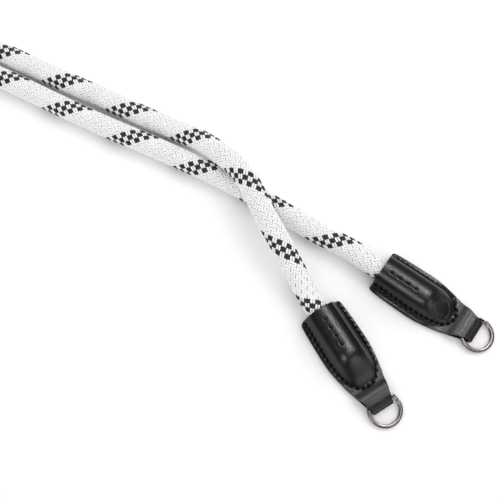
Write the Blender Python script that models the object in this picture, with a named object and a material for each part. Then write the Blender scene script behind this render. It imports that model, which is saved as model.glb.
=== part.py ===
"""A rope camera strap: one braided rope, with a stitched leather end and a split ring at both of its ends.

Each leather end is one strip folded round its ring. Its two layers close over the rope's end in a pocket.
Metres, +Z up, +X along the strap towards the rings. The strap lies on the plane z = 0.
"""

import math

import bmesh
import bpy
import numpy as np
from mathutils import Matrix

MM = 0.001

# Rope
ROPE_DIAMETER = 0.0100
ROPE_POINT_SPACING = 1.2 * ROPE_DIAMETER
ROPE_SIDES_RESOLUTION = 4

# Leather ends, from the mouth where the rope goes in to the fold round the ring
LEATHER_THICKNESS = 0.0012
END_LENGTH = 0.0483
END_WIDTH = 0.0213
ROPE_DEPTH = 0.0215
ROPE_ASIDE = -0.0013
FAR_SIDE = 1.2
FOLD_GAP = 0.0024
WEDGE_LENGTH = 0.0044
FOLD_STEPS = 5
WEDGE_SHARES = (0.2, 0.4, 0.6, 0.8, 1.0)
FIRST_OPEN_WEDGE = 0.4
FLAT_SHARE = 0.9
LAST_FOLD_SHARE = 0.999
SHARP_EDGE_ANGLE = math.radians(35)

# Split rings, each two flat coils of one wire
RING_DIAMETER = 0.0150
RING_BAND = 0.0015
RING_WIRE_HEIGHT = 0.00082
RING_COIL_GAP = 0.00006
RING_BEYOND_FOLD = 0.0004
RING_STEP_ANGLE = math.radians(24)
RING_END_GAP_ANGLE = math.radians(4)
RING_START_ANGLE = math.radians(118)
RING_POINTS_PER_TURN = 44

# Play between pieces that touch, and how far a cutter runs past a face
CLEARANCE = 0.0003
CUT_MARGIN = 0.0010

# How finely a curve is walked to space its points
WALK_STEPS = 4000
SEARCH_STEPS = 200

# Where each end lies: the middle of its mouth, the way that it points, and how far its ring lies to one side
ENDS = {
    "left": {"mouth": (-33.4 * MM, -2.3 * MM), "heading": math.radians(-33.0), "ring_aside": 0.3 * MM},
    "right": {"mouth": (-16.6 * MM, 26.4 * MM), "heading": math.radians(-10.2), "ring_aside": -0.3 * MM},
}

# The rope's way from the left mouth to the right one, in millimetres: x, y, height of its middle.
# It climbs over itself once, then doubles back in one wide bight.
ROUTE_MM = [
    (-46.0, 4.6, 8.5),
    (-53.1, 9.6, 10.8),
    (-60.6, 15.2, 12.9),
    (-66.6, 19.4, 14.4),
    (-71.8, 23.0, 15.3),
    (-76.6, 27.1, 15.5),
    (-81.6, 31.5, 15.6),
    (-87.3, 35.5, 15.4),
    (-93.9, 39.0, 14.3),
    (-101.9, 42.0, 12.3),
    (-114.9, 45.4, 8.7),
    (-127.9, 46.3, 6.1),
    (-141.8, 46.5, 5.1),
    (-168.6, 46.8, 5.0),
    (-190.3, 46.8, 5.0),
    (-224.5, 47.5, 5.0),
    (-273.0, 48.5, 5.0),
    (-323.0, 48.5, 5.0),
    (-373.0, 48.3, 5.0),
    (-398.7, 47.9, 5.0),
    (-416.2, 46.4, 5.0),
    (-429.2, 42.7, 5.0),
    (-438.5, 33.8, 5.0),
    (-441.7, 22.3, 5.0),
    (-438.5, 10.8, 5.0),
    (-429.2, 1.9, 5.0),
    (-416.2, -1.8, 5.0),
    (-392.7, -0.8, 5.0),
    (-365.4, 6.3, 5.0),
    (-330.4, 15.8, 5.0),
    (-294.4, 24.8, 5.0),
    (-257.0, 32.3, 5.0),
    (-217.0, 35.5, 5.0),
    (-188.8, 34.9, 5.0),
    (-161.7, 34.4, 5.0),
    (-135.7, 34.8, 5.0),
    (-110.0, 34.8, 5.0),
    (-89.2, 33.9, 5.0),
    (-73.3, 32.2, 5.0),
    (-57.8, 30.3, 5.0),
    (-47.5, 29.2, 5.1),
    (-32.4, 27.9, 5.9),
]
LEAD_IN = 0.0050

# Plan of a leather end. along: share of END_LENGTH. width: share of END_WIDTH.
PLAN = [
    {"along": 0.000, "width": 0.925},
    {"along": 0.025, "width": 0.938},
    {"along": 0.090, "width": 0.964},
    {"along": 0.150, "width": 0.978},
    {"along": 0.210, "width": 0.987},
    {"along": 0.300, "width": 0.995},
    {"along": 0.400, "width": 1.000},
    {"along": 0.460, "width": 0.992},
    {"along": 0.525, "width": 0.963},
    {"along": 0.585, "width": 0.913},
    {"along": 0.650, "width": 0.857},
    {"along": 0.710, "width": 0.798},
    {"along": 0.770, "width": 0.715},
    {"along": 0.835, "width": 0.627},
    {"along": 0.895, "width": 0.540},
    {"along": 1.000, "width": 0.440},
]

# The pocket over the rope, which lies a little to one side in it. along: share of the way from the mouth to
# the ring's wedge. foot: from the hump's own middle to its seam on the near side, as a share of half END_WIDTH.
# It's FAR_SIDE times as far on the other side. crown: share of the hump's height. aside: share of ROPE_ASIDE.
POCKET = [
    {"along": 0.000, "foot": 0.645, "crown": 1.000, "aside": 1.000},
    {"along": 0.030, "foot": 0.650, "crown": 1.000, "aside": 1.000},
    {"along": 0.160, "foot": 0.655, "crown": 1.000, "aside": 1.000},
    {"along": 0.330, "foot": 0.655, "crown": 1.000, "aside": 1.000},
    {"along": 0.480, "foot": 0.655, "crown": 1.000, "aside": 1.000},
    {"along": 0.605, "foot": 0.655, "crown": 1.000, "aside": 1.000},
    {"along": 0.665, "foot": 0.655, "crown": 0.930, "aside": 0.900},
    {"along": 0.730, "foot": 0.650, "crown": 0.760, "aside": 0.750},
    {"along": 0.800, "foot": 0.620, "crown": 0.520, "aside": 0.550},
    {"along": 0.865, "foot": 0.565, "crown": 0.290, "aside": 0.350},
    {"along": 0.925, "foot": 0.480, "crown": 0.110, "aside": 0.150},
    {"along": 0.975, "foot": 0.400, "crown": 0.000, "aside": 0.000},
    {"along": 1.000, "foot": 0.360, "crown": 0.000, "aside": 0.000},
]
LAST_HOLLOW = 0.865

# Half of the hump in cross-section, from its crown to its foot, and the hollow's inside it
HUMP = [
    {"across": 0.00, "height": 1.000},
    {"across": 0.22, "height": 0.984},
    {"across": 0.42, "height": 0.936},
    {"across": 0.60, "height": 0.858},
    {"across": 0.75, "height": 0.754},
    {"across": 0.86, "height": 0.629},
    {"across": 0.94, "height": 0.420},
    {"across": 1.00, "height": 0.120},
    {"across": 1.08, "height": 0.000},
]
HOLLOW = [
    {"across": 0.00, "height": 1.000},
    {"across": 0.22, "height": 0.986},
    {"across": 0.42, "height": 0.946},
    {"across": 0.60, "height": 0.882},
    {"across": 0.75, "height": 0.795},
    {"across": 0.86, "height": 0.690},
    {"across": 0.94, "height": 0.500},
    {"across": 1.00, "height": 0.120},
]

# Worked out from the sizes above
ring_radius = RING_DIAMETER / 2
ring_stack = 2 * RING_WIRE_HEIGHT + RING_COIL_GAP
ring_centre_along = END_LENGTH + RING_BEYOND_FOLD
flange_height = 2 * LEATHER_THICKNESS
rope_height_in_end = LEATHER_THICKNESS + CLEARANCE + ROPE_DIAMETER / 2
crown_height = 2 * (LEATHER_THICKNESS + CLEARANCE) + ROPE_DIAMETER
fold_radius = LEATHER_THICKNESS + FOLD_GAP / 2
fold_centre_along = END_LENGTH - fold_radius


def column(table, key):
    return [row[key] for row in table]


def half_width(along):
    """Half the width of a leather end at this distance from its mouth."""
    share = np.interp(along / END_LENGTH, column(PLAN, "along"), column(PLAN, "width"))
    return END_WIDTH / 2 * float(share)


def ring_reach():
    """How far behind its own centre the ring's inner edge goes in at the leather's side."""
    inner = ring_radius - RING_BAND
    aside = max(abs(end["ring_aside"]) for end in ENDS.values())
    steps = np.linspace(0, inner, SEARCH_STEPS)
    reaches = [math.hypot(back, half_width(ring_centre_along - back) + aside) for back in steps]
    covered = [back for back, reach in zip(steps, reaches) if reach >= inner]
    return float(min(covered, default=inner))


def ring_tilt():
    """A ring leans with its far edge on the floor and its wire just over the lower layer of leather."""
    return math.asin((LEATHER_THICKNESS + CLEARANCE) / (ring_radius + ring_reach()))


tilt = ring_tilt()
ring_centre_height = ring_radius * math.sin(tilt) + ring_stack / 2 * math.cos(tilt)
ring_top = RING_DIAMETER * math.sin(tilt) + ring_stack * math.cos(tilt)
slot_ceiling = ring_top + CLEARANCE
slot_deep = ring_centre_along - ring_radius * math.cos(tilt) - ring_stack / 2 * math.sin(tilt) - CLEARANCE
wedge_start = slot_deep - WEDGE_LENGTH


def pocket_value(key, along):
    return float(np.interp(along / wedge_start, column(POCKET, "along"), column(POCKET, key)))


def tongue_height(along):
    """The height of the upper face past the pocket: it swells over the ring, then comes down to the fold."""
    full = slot_ceiling + LEATHER_THICKNESS
    if along >= slot_deep:
        return float(np.interp(along, [slot_deep, fold_centre_along], [full, 2 * fold_radius]))
    share = max((along - wedge_start) / WEDGE_LENGTH, 0.0)
    return flange_height + (full - flange_height) * share * share * (3 - 2 * share)


def add_material(name, colour, roughness, metallic):
    material = bpy.data.materials.new(name)
    material.use_nodes = True
    shader = material.node_tree.nodes["Principled BSDF"]
    shader.inputs["Base Color"].default_value = (*colour, 1.0)
    shader.inputs["Roughness"].default_value = roughness
    shader.inputs["Metallic"].default_value = metallic
    return material


def add_object(name, data, collection, material=None):
    made = bpy.data.objects.new(name, data)
    collection.objects.link(made)
    if material:
        data.materials.append(material)
    return made


def add_cutter(name, data):
    made = add_object(name, data, cutters)
    made.hide_render = True
    made.display_type = "WIRE"
    return made


def loft(name, sections):
    """A closed mesh through equal-length loops of (x, y, z), with a flat cap on the first and the last."""
    shape = bmesh.new()
    rings = [[shape.verts.new(point) for point in section] for section in sections]
    for before, after in zip(rings, rings[1:]):
        for i in range(len(before)):
            j = (i + 1) % len(before)
            shape.faces.new((before[i], before[j], after[j], after[i]))
    shape.faces.new(rings[0][::-1])
    shape.faces.new(rings[-1])
    bmesh.ops.recalc_face_normals(shape, faces=shape.faces)
    mesh = bpy.data.meshes.new(name)
    shape.to_mesh(mesh)
    shape.free()
    return mesh


def outline_loop(along, near, far, floor):
    """A loop at this distance along, from its two halves, each given from the crown out as (off the middle, z)."""
    left = [(along, -y, z) for y, z in near[:0:-1]]
    right = [(along, y, z) for y, z in far]
    bottom = [(along, far[-1][0], floor), (along, -near[-1][0], floor)]
    return left + right + bottom


def halves(rows, near_foot, far_foot, aside, base, rise):
    """Both halves of a hump or of its hollow, whose middle lies aside of the leather end's own middle."""
    near = [(near_foot * row["across"] - aside, base + rise * row["height"]) for row in rows]
    far = [(far_foot * row["across"] + aside, base + rise * row["height"]) for row in rows]
    return near, far


def hump_outline(along):
    """The end's section from the mouth to the wedge: a flat flange each side of the hump over the rope."""
    foot = END_WIDTH / 2 * pocket_value("foot", along)
    rise = (crown_height - flange_height) * pocket_value("crown", along)
    aside = ROPE_ASIDE * pocket_value("aside", along)
    near, far = halves(HUMP, foot, foot * FAR_SIDE, aside, flange_height, rise)
    for half in (near, far):
        half.append((half_width(along), flange_height))
    return outline_loop(along, near, far, 0.0)


def tongue_outline(along):
    """The end's section past the pocket, flat on top, and rounded in height where it goes round the fold."""
    into_fold = max(along - fold_centre_along, 0.0)
    top, bottom = tongue_height(along), 0.0
    if into_fold:
        reach = math.sqrt(max(fold_radius**2 - into_fold**2, 0.0))
        top, bottom = fold_radius + reach, fold_radius - reach
    foot = END_WIDTH / 2 * POCKET[-1]["foot"]
    share = min(1.0, half_width(along) / (foot * FAR_SIDE * HUMP[-1]["across"]) * FLAT_SHARE)
    near, far = halves(HUMP, foot * share, foot * share * FAR_SIDE, 0.0, top, 0.0)
    for half in (near, far):
        half.append((half_width(along), top))
    return outline_loop(along, near, far, bottom)


def end_body_mesh():
    stations = [wedge_start * row["along"] for row in POCKET]
    sections = [hump_outline(along) for along in stations]
    swell = [wedge_start + WEDGE_LENGTH * share for share in WEDGE_SHARES]
    middle = swell + [(slot_deep + fold_centre_along) / 2, fold_centre_along]
    turns = [math.sin(math.pi / 2 * step / FOLD_STEPS) for step in range(1, FOLD_STEPS)]
    round_part = [fold_centre_along + fold_radius * turn for turn in turns + [LAST_FOLD_SHARE]]
    sections += [tongue_outline(along) for along in middle + round_part]
    return loft("leather_end", sections)


def pocket_cutter_mesh():
    """The hollow between the two layers, open at the mouth, with room for the rope."""
    ceiling_rise = crown_height - flange_height

    def outline(along, at):
        foot = END_WIDTH / 2 * pocket_value("foot", at)
        rise = ceiling_rise * pocket_value("crown", at)
        aside = ROPE_ASIDE * pocket_value("aside", at)
        inner = (foot - LEATHER_THICKNESS, foot * FAR_SIDE - LEATHER_THICKNESS)
        near, far = halves(HOLLOW, *inner, aside, LEATHER_THICKNESS, rise)
        return outline_loop(along, near, far, LEATHER_THICKNESS)

    stations = [wedge_start * row["along"] for row in POCKET if row["along"] <= LAST_HOLLOW]
    sections = [outline(-CUT_MARGIN, 0.0)] + [outline(along, along) for along in stations]
    return loft("pocket_hollow", sections)


def slot_cutter_mesh():
    """The flat slot across the end that the ring's wire lies in, round at the fold and thin at the pocket."""
    open_from = [wedge_start + WEDGE_LENGTH * share for share in WEDGE_SHARES if share >= FIRST_OPEN_WEDGE]
    ceiling = [(along, tongue_height(along) - LEATHER_THICKNESS) for along in open_from]
    angles = [math.pi / 2 - math.pi * step / (2 * FOLD_STEPS) for step in range(2 * FOLD_STEPS + 1)]
    gap_radius = FOLD_GAP / 2
    rounded = [
        (fold_centre_along + gap_radius * math.cos(angle), fold_radius + gap_radius * math.sin(angle))
        for angle in angles
    ]
    profile = ceiling + rounded + [(open_from[0], LEATHER_THICKNESS)]
    reach = END_WIDTH / 2 + CUT_MARGIN
    return loft("ring_slot", [[(x, side, z) for x, z in profile] for side in (-reach, reach)])


def natural_spline(points, spacing):
    """Evenly spaced points on the natural cubic spline through these points."""
    points = np.array(points, float)
    steps = np.linalg.norm(np.diff(points, axis=0), axis=1)
    knots = np.concatenate([[0.0], np.cumsum(steps)])
    count = len(points)
    system = np.zeros((count, count))
    right = np.zeros((count, 3))
    system[0, 0] = system[-1, -1] = 1.0
    for i in range(1, count - 1):
        system[i, i - 1] = steps[i - 1]
        system[i, i] = 2 * (steps[i - 1] + steps[i])
        system[i, i + 1] = steps[i]
        right[i] = 6 * ((points[i + 1] - points[i]) / steps[i] - (points[i] - points[i - 1]) / steps[i - 1])
    bend = np.linalg.solve(system, right)

    def at(t):
        i = min(int(np.searchsorted(knots, t, side="right")) - 1, count - 2)
        h = steps[i]
        a, b = (knots[i + 1] - t) / h, (t - knots[i]) / h
        curve = ((a**3 - a) * bend[i] + (b**3 - b) * bend[i + 1]) * h**2 / 6
        return a * points[i] + b * points[i + 1] + curve

    fine = np.array([at(t) for t in np.linspace(0.0, knots[-1], WALK_STEPS)])
    travelled = np.concatenate([[0.0], np.cumsum(np.linalg.norm(np.diff(fine, axis=0), axis=1))])
    wanted = np.linspace(0.0, travelled[-1], max(2, round(travelled[-1] / spacing)) + 1)
    return np.stack([np.interp(wanted, travelled, fine[:, k]) for k in range(3)], axis=1)


def rope_end_points(side):
    """The rope's straight stretch at an end, from inside the pocket out past the mouth."""
    heading = ENDS[side]["heading"]
    x = ENDS[side]["mouth"][0] - ROPE_ASIDE * math.sin(heading)
    y = ENDS[side]["mouth"][1] + ROPE_ASIDE * math.cos(heading)
    return [
        (x + along * math.cos(heading), y + along * math.sin(heading), rope_height_in_end)
        for along in (ROPE_DEPTH, ROPE_DEPTH / 2, 0.0, -LEAD_IN)
    ]


def rope_route():
    middle = [(x * MM, y * MM, z * MM) for x, y, z in ROUTE_MM]
    return rope_end_points("left") + middle + rope_end_points("right")[::-1]


def laid_rope():
    """The rope's points, none of them lower than a rope that lies on the floor."""
    points = natural_spline(rope_route(), ROPE_POINT_SPACING)
    points[:, 2] = np.maximum(points[:, 2], ROPE_DIAMETER / 2)
    return points


def add_tube(name, points, diameter, material):
    curve = bpy.data.curves.new(name, "CURVE")
    curve.dimensions = "3D"
    curve.bevel_depth = diameter / 2
    curve.bevel_resolution = ROPE_SIDES_RESOLUTION
    curve.use_fill_caps = True
    spline = curve.splines.new("POLY")
    spline.points.add(len(points) - 1)
    for point, place in zip(spline.points, points):
        point.co = (*place, 1.0)
    return add_object(name, curve, strap, material)


def coil_path():
    """The middle of the ring's wire: one low coil, a short step up, then one high coil."""
    low, high = -(RING_WIRE_HEIGHT + RING_COIL_GAP) / 2, (RING_WIRE_HEIGHT + RING_COIL_GAP) / 2
    radius = ring_radius - RING_BAND / 2
    step_from = 2 * math.pi - RING_STEP_ANGLE
    last = 4 * math.pi - RING_STEP_ANGLE - RING_END_GAP_ANGLE
    count = 2 * RING_POINTS_PER_TURN
    path = []
    for angle in np.linspace(RING_END_GAP_ANGLE, last, count):
        share = min(max((angle - step_from) / RING_STEP_ANGLE, 0.0), 1.0)
        eased = share * share * (3 - 2 * share)
        turned = angle + RING_START_ANGLE
        path.append((radius * math.cos(turned), radius * math.sin(turned), low + (high - low) * eased))
    return path


def wire_section():
    """The ring wire's flat cross-section, as a closed guide curve."""
    curve = bpy.data.curves.new("ring_wire_section", "CURVE")
    curve.dimensions = "2D"
    spline = curve.splines.new("POLY")
    spline.points.add(3)
    across, up = RING_BAND / 2, RING_WIRE_HEIGHT / 2
    for point, corner in zip(spline.points, ((-across, up), (across, up), (across, -up), (-across, -up))):
        point.co = (*corner, 0.0, 1.0)
    spline.use_cyclic_u = True
    return add_cutter("ring_wire_section", curve)


def add_ring(side, section, material):
    curve = bpy.data.curves.new(f"{side}_split_ring", "CURVE")
    curve.dimensions = "3D"
    curve.twist_mode = "Z_UP"
    curve.bevel_mode = "OBJECT"
    curve.bevel_object = section
    curve.use_fill_caps = True
    spline = curve.splines.new("POLY")
    path = coil_path()
    spline.points.add(len(path) - 1)
    for point, place in zip(spline.points, path):
        point.co = (*place, 1.0)
    ring = add_object(f"{side}_split_ring", curve, strap, material)
    x, y = ENDS[side]["mouth"]
    heading = ENDS[side]["heading"]
    aside = ENDS[side]["ring_aside"]
    ring.location = (
        x + ring_centre_along * math.cos(heading) - aside * math.sin(heading),
        y + ring_centre_along * math.sin(heading) + aside * math.cos(heading),
        ring_centre_height,
    )
    ring.rotation_euler = (0.0, tilt, heading)
    return ring


def add_leather_end(side, material):
    body = add_object(f"{side}_leather_end", end_body_mesh(), strap, material)
    place = Matrix.Translation((*ENDS[side]["mouth"], 0.0)) @ Matrix.Rotation(ENDS[side]["heading"], 4, "Z")
    for name, mesh in (("pocket", pocket_cutter_mesh()), ("slot", slot_cutter_mesh())):
        cutter = add_cutter(f"{side}_{name}_cutter", mesh)
        cutter.matrix_world = place
        cut = body.modifiers.new(name, "BOOLEAN")
        cut.operation = "DIFFERENCE"
        cut.object = cutter
    body.matrix_world = place
    body.data.shade_smooth()
    body.data.set_sharp_from_angle(angle=SHARP_EDGE_ANGLE)
    return body


for old in list(bpy.data.objects):
    bpy.data.objects.remove(old, do_unlink=True)
strap = bpy.data.collections.new("rope_camera_strap")
cutters = bpy.data.collections.new("cutters")
for group in (strap, cutters):
    bpy.context.scene.collection.children.link(group)

leather = add_material("black_leather", (0.012, 0.012, 0.013), 0.42, 0.0)
white_rope = add_material("white_braided_rope", (0.82, 0.82, 0.81), 0.75, 0.0)
ring_metal = add_material("dark_nickel", (0.33, 0.32, 0.31), 0.28, 1.0)

add_tube("rope", laid_rope(), ROPE_DIAMETER, white_rope)
guide = wire_section()
for end in ENDS:
    add_leather_end(end, leather)
    add_ring(end, guide, ring_metal)
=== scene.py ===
import math

import bpy
import numpy as np
from mathutils import Matrix, Vector


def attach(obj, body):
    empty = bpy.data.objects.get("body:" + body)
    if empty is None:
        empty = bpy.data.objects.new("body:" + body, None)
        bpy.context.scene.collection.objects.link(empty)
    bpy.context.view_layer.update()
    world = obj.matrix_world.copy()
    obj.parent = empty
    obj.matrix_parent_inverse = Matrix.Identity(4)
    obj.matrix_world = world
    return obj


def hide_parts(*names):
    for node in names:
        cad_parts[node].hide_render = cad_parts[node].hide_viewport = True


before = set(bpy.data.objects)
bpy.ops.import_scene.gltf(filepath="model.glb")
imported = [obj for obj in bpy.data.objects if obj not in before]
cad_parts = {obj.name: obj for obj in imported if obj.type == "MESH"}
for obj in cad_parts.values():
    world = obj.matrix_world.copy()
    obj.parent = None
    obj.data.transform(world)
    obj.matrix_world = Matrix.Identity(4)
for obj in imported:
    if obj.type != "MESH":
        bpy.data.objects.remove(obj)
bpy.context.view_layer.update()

MM = 0.001


# Camera: a 50 mm lens a forearm's length above the table, looking almost straight down on the crossing
# and the two ends. The rope's far part lies outside its view.
LENS_MM = 50.0
SENSOR_MM = 36.0
LOOKS_AT = Vector((-0.0730, 0.0105, 0.0))
STANDS_BACK = 0.3104
ELEVATION = math.radians(72.94)
AZIMUTH = math.radians(25.5)

camera_data = bpy.data.cameras.new("camera")
camera_data.lens = LENS_MM
camera_data.sensor_width = SENSOR_MM
camera_data.clip_start = 0.01
camera = bpy.data.objects.new("camera", camera_data)
towards_camera = Vector(
    (math.cos(ELEVATION) * math.sin(AZIMUTH), -math.cos(ELEVATION) * math.cos(AZIMUTH), math.sin(ELEVATION))
)
camera.location = LOOKS_AT + STANDS_BACK * towards_camera
camera.rotation_euler = (math.pi / 2 - ELEVATION, 0.0, AZIMUTH)
bpy.context.scene.collection.objects.link(camera)
bpy.context.scene.camera = camera


# Rope: a round braid of white polyester yarn over a white core, ten strands each way, two yarns to a strand,
# with three black strands side by side as its tracer. It runs from inside the left leather end up and over
# itself, round one wide bight, and back into the right leather end.
ROPE_DIAMETER = 0.0100
ROPE_DEPTH = 0.0215
ROPE_HEIGHT_IN_END = 0.0065
ROPE_ASIDE = -0.0013
LEAD_IN = 0.0050
LEFT_MOUTH = (-0.0334, -0.0023)
LEFT_HEADING = math.radians(-33.0)
RIGHT_MOUTH = (-0.0166, 0.0264)
RIGHT_HEADING = math.radians(-10.2)
ROUTE_MM = [
    (-46.0, 4.6, 8.5),
    (-53.1, 9.6, 10.8),
    (-60.6, 15.2, 12.9),
    (-66.6, 19.4, 14.4),
    (-71.8, 23.0, 15.3),
    (-76.6, 27.1, 15.5),
    (-81.6, 31.5, 15.6),
    (-87.3, 35.5, 15.4),
    (-93.9, 39.0, 14.3),
    (-101.9, 42.0, 12.3),
    (-114.9, 45.4, 8.7),
    (-127.9, 46.3, 6.1),
    (-141.8, 46.5, 5.1),
    (-168.6, 46.8, 5.0),
    (-190.3, 46.8, 5.0),
    (-224.5, 47.5, 5.0),
    (-273.0, 48.5, 5.0),
    (-323.0, 48.5, 5.0),
    (-373.0, 48.3, 5.0),
    (-398.7, 47.9, 5.0),
    (-416.2, 46.4, 5.0),
    (-429.2, 42.7, 5.0),
    (-438.5, 33.8, 5.0),
    (-441.7, 22.3, 5.0),
    (-438.5, 10.8, 5.0),
    (-429.2, 1.9, 5.0),
    (-416.2, -1.8, 5.0),
    (-392.7, -0.8, 5.0),
    (-365.4, 6.3, 5.0),
    (-330.4, 15.8, 5.0),
    (-294.4, 24.8, 5.0),
    (-257.0, 32.3, 5.0),
    (-217.0, 35.5, 5.0),
    (-188.8, 34.9, 5.0),
    (-161.7, 34.4, 5.0),
    (-135.7, 34.8, 5.0),
    (-110.0, 34.8, 5.0),
    (-89.2, 33.9, 5.0),
    (-73.3, 32.2, 5.0),
    (-57.8, 30.3, 5.0),
    (-47.5, 29.2, 5.1),
    (-32.4, 27.9, 5.9),
]


def straight_into_end(mouth, heading):
    """The rope's straight stretch at an end, from inside the pocket out past the mouth."""
    x = mouth[0] - ROPE_ASIDE * math.sin(heading)
    y = mouth[1] + ROPE_ASIDE * math.cos(heading)
    return [
        (x + along * math.cos(heading), y + along * math.sin(heading), ROPE_HEIGHT_IN_END)
        for along in (ROPE_DEPTH, ROPE_DEPTH / 2, 0.0, -LEAD_IN)
    ]


def natural_spline(points, spacing):
    """Evenly spaced points on the natural cubic spline through these points."""
    points = np.array(points, float)
    steps = np.linalg.norm(np.diff(points, axis=0), axis=1)
    knots = np.concatenate([[0.0], np.cumsum(steps)])
    count = len(points)
    system = np.zeros((count, count))
    right = np.zeros((count, 3))
    system[0, 0] = system[-1, -1] = 1.0
    for i in range(1, count - 1):
        system[i, i - 1 : i + 2] = steps[i - 1], 2 * (steps[i - 1] + steps[i]), steps[i]
        right[i] = 6 * ((points[i + 1] - points[i]) / steps[i] - (points[i] - points[i - 1]) / steps[i - 1])
    bend = np.linalg.solve(system, right)
    t = np.linspace(0.0, knots[-1], 6000)
    i = np.clip(np.searchsorted(knots, t, side="right") - 1, 0, count - 2)
    h = steps[i][:, None]
    a, b = (knots[i + 1] - t)[:, None] / h, (t - knots[i])[:, None] / h
    curve = ((a**3 - a) * bend[i] + (b**3 - b) * bend[i + 1]) * h**2 / 6
    fine = a * points[i] + b * points[i + 1] + curve
    travelled = np.concatenate([[0.0], np.cumsum(np.linalg.norm(np.diff(fine, axis=0), axis=1))])
    wanted = np.linspace(0.0, travelled[-1], max(2, round(travelled[-1] / spacing)) + 1)
    return np.stack([np.interp(wanted, travelled, fine[:, k]) for k in range(3)], axis=1)


rope_route = (
    straight_into_end(LEFT_MOUTH, LEFT_HEADING)
    + [(x * MM, y * MM, z * MM) for x, y, z in ROUTE_MM]
    + straight_into_end(RIGHT_MOUTH, RIGHT_HEADING)[::-1]
)
rope_line = natural_spline(rope_route, 0.5 * MM)
rope_line[:, 2] = np.maximum(rope_line[:, 2], ROPE_DIAMETER / 2)
rope_along = np.concatenate([[0.0], np.cumsum(np.linalg.norm(np.diff(rope_line, axis=0), axis=1))])
rope_tangent = np.gradient(rope_line, rope_along, axis=0)
rope_tangent /= np.linalg.norm(rope_tangent, axis=1)[:, None]
rope_up = np.array((0.0, 0.0, 1.0)) - rope_tangent * rope_tangent[:, 2:3]
rope_up /= np.linalg.norm(rope_up, axis=1)[:, None]
rope_side = np.cross(rope_tangent, rope_up)
rope_length = float(rope_along[-1])


def unit(vectors):
    return vectors / np.linalg.norm(vectors, axis=1)[:, None]


def on_rope(table, along):
    """The rope's own place or direction at these distances along it."""
    return np.stack([np.interp(along, rope_along, table[:, k]) for k in range(3)], axis=1)


def tube_faces(rings, sides, start):
    """The quads of a tube whose vertices come ring by ring."""
    ring, side = np.meshgrid(np.arange(rings - 1), np.arange(sides), indexing="ij")
    after = (side + 1) % sides
    near, far = ring * sides, (ring + 1) * sides
    quads = np.stack([near + side, near + after, far + after, far + side], axis=-1)
    return quads.reshape(-1, 4) + start


def mesh_from_tubes(name, tubes):
    """One mesh of closed tubes, each given as the points of its rings and their distances along it. Its UV is
    the millimetres along a tube and the share of the way round it."""
    points, quads, caps, uvs = [], [], [], []
    start = 0
    for rings, along in tubes:
        count, sides = rings.shape[:2]
        points.append(rings.reshape(-1, 3))
        quads.append(tube_faces(count, sides, start))
        caps.append(start + np.arange(sides)[::-1])
        caps.append(start + (count - 1) * sides + np.arange(sides))
        ring, side = np.meshgrid(np.arange(count - 1), np.arange(sides), indexing="ij")
        u0, u1 = along[ring] / MM, along[ring + 1] / MM
        v0, v1 = side / sides, (side + 1) / sides
        uvs.append(np.stack([u0, v0, u0, v1, u1, v1, u1, v0], axis=-1).reshape(-1, 2))
        start += count * sides
    points = np.concatenate(points)
    quads = np.concatenate(quads)
    cap_corners = np.concatenate(caps)
    loops = np.concatenate([quads.ravel(), cap_corners])
    cap_sizes = np.array([len(cap) for cap in caps])
    sizes = np.concatenate([np.full(len(quads), 4), cap_sizes])
    mesh = bpy.data.meshes.new(name)
    mesh.vertices.add(len(points))
    mesh.vertices.foreach_set("co", points.astype(np.float32).ravel())
    mesh.loops.add(len(loops))
    mesh.loops.foreach_set("vertex_index", loops.astype(np.int32))
    mesh.polygons.add(len(sizes))
    mesh.polygons.foreach_set("loop_start", np.concatenate([[0], np.cumsum(sizes)[:-1]]).astype(np.int32))
    mesh.update(calc_edges=True)
    layer = mesh.uv_layers.new(name="along_yarn")
    flat = np.zeros((len(loops), 2), np.float32)
    flat[: len(quads) * 4] = np.concatenate(uvs)
    layer.uv.foreach_set("vector", flat.ravel())
    mesh.shade_smooth()
    mesh.validate()
    return mesh


def add_piece(name, data, body, material):
    piece = bpy.data.objects.new(name, data)
    bpy.context.scene.collection.objects.link(piece)
    data.materials.append(material)
    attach(piece, body)
    return piece


def from_hex(text):
    """The linear colour of an sRGB hex value."""
    channels = [int(text[i : i + 2], 16) / 255 for i in (1, 3, 5)]
    return (*[c / 12.92 if c <= 0.04045 else ((c + 0.055) / 1.055) ** 2.4 for c in channels], 1.0)


def add_node(tree, kind, settings=None, links=None):
    """A node with its settings and inputs. An input takes a value, or a link from another node's output."""
    node = tree.nodes.new(kind)
    for key, value in (settings or {}).items():
        setattr(node, key, value)
    for key, value in (links or {}).items():
        if isinstance(value, bpy.types.NodeSocket):
            tree.links.new(value, node.inputs[key])
        else:
            node.inputs[key].default_value = value
    return node


def new_material(name):
    material = bpy.data.materials.new(name)
    material.use_nodes = True
    return material, material.node_tree, material.node_tree.nodes["Principled BSDF"]


# Polyester yarn is drawn into fine filaments with a light twist. It looks softly bright, with faint lines
# along the twist. Painted shade greys each yarn at its flanks, between yarns. YARN_TOP: the share of the way
# round where it faces out.
YARN_TOP = 0.25


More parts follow.
